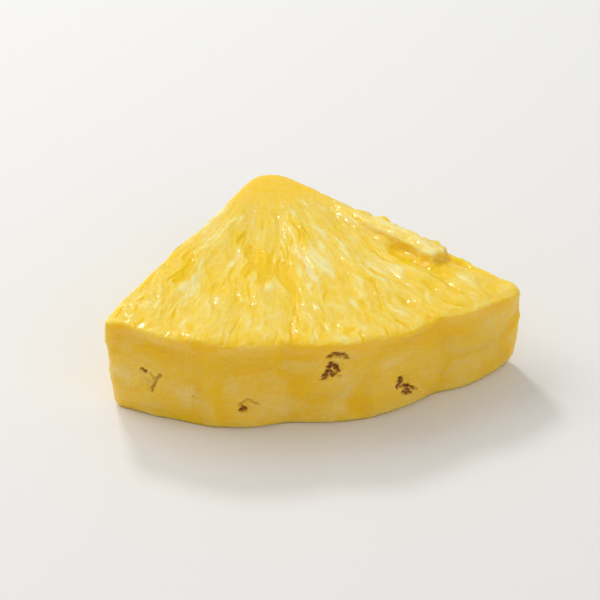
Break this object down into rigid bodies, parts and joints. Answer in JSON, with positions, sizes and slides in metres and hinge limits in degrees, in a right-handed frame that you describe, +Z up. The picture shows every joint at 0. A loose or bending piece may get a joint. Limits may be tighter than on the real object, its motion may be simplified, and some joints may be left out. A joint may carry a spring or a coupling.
{
  "type": "pineapple wedge",
  "caption": "Peeled pineapple wedge: a sector of a round slice with a rounded core tip, two straight cuts, a torn strip of fibre along one and a bumpy peeled side with eye pits.",
  "frame": {"origin": "middle of the wedge's box, on the lower cut face that it lies on", "axes": "+Z up through the slice's thickness, +Y towards the core tip, +X along the chord of the peeled side"},
  "size_m": [0.0634, 0.0462, 0.0169],
  "materials": {
    "pineapple_flesh": "wet, translucent yellow flesh with pale radial fibres",
    "pineapple_eye": "dry brown remnants of the eyes"
  },
  "bodies": {
    "root": {"pineapple_wedge": "pineapple_flesh"}
  },
  "joints": []
}
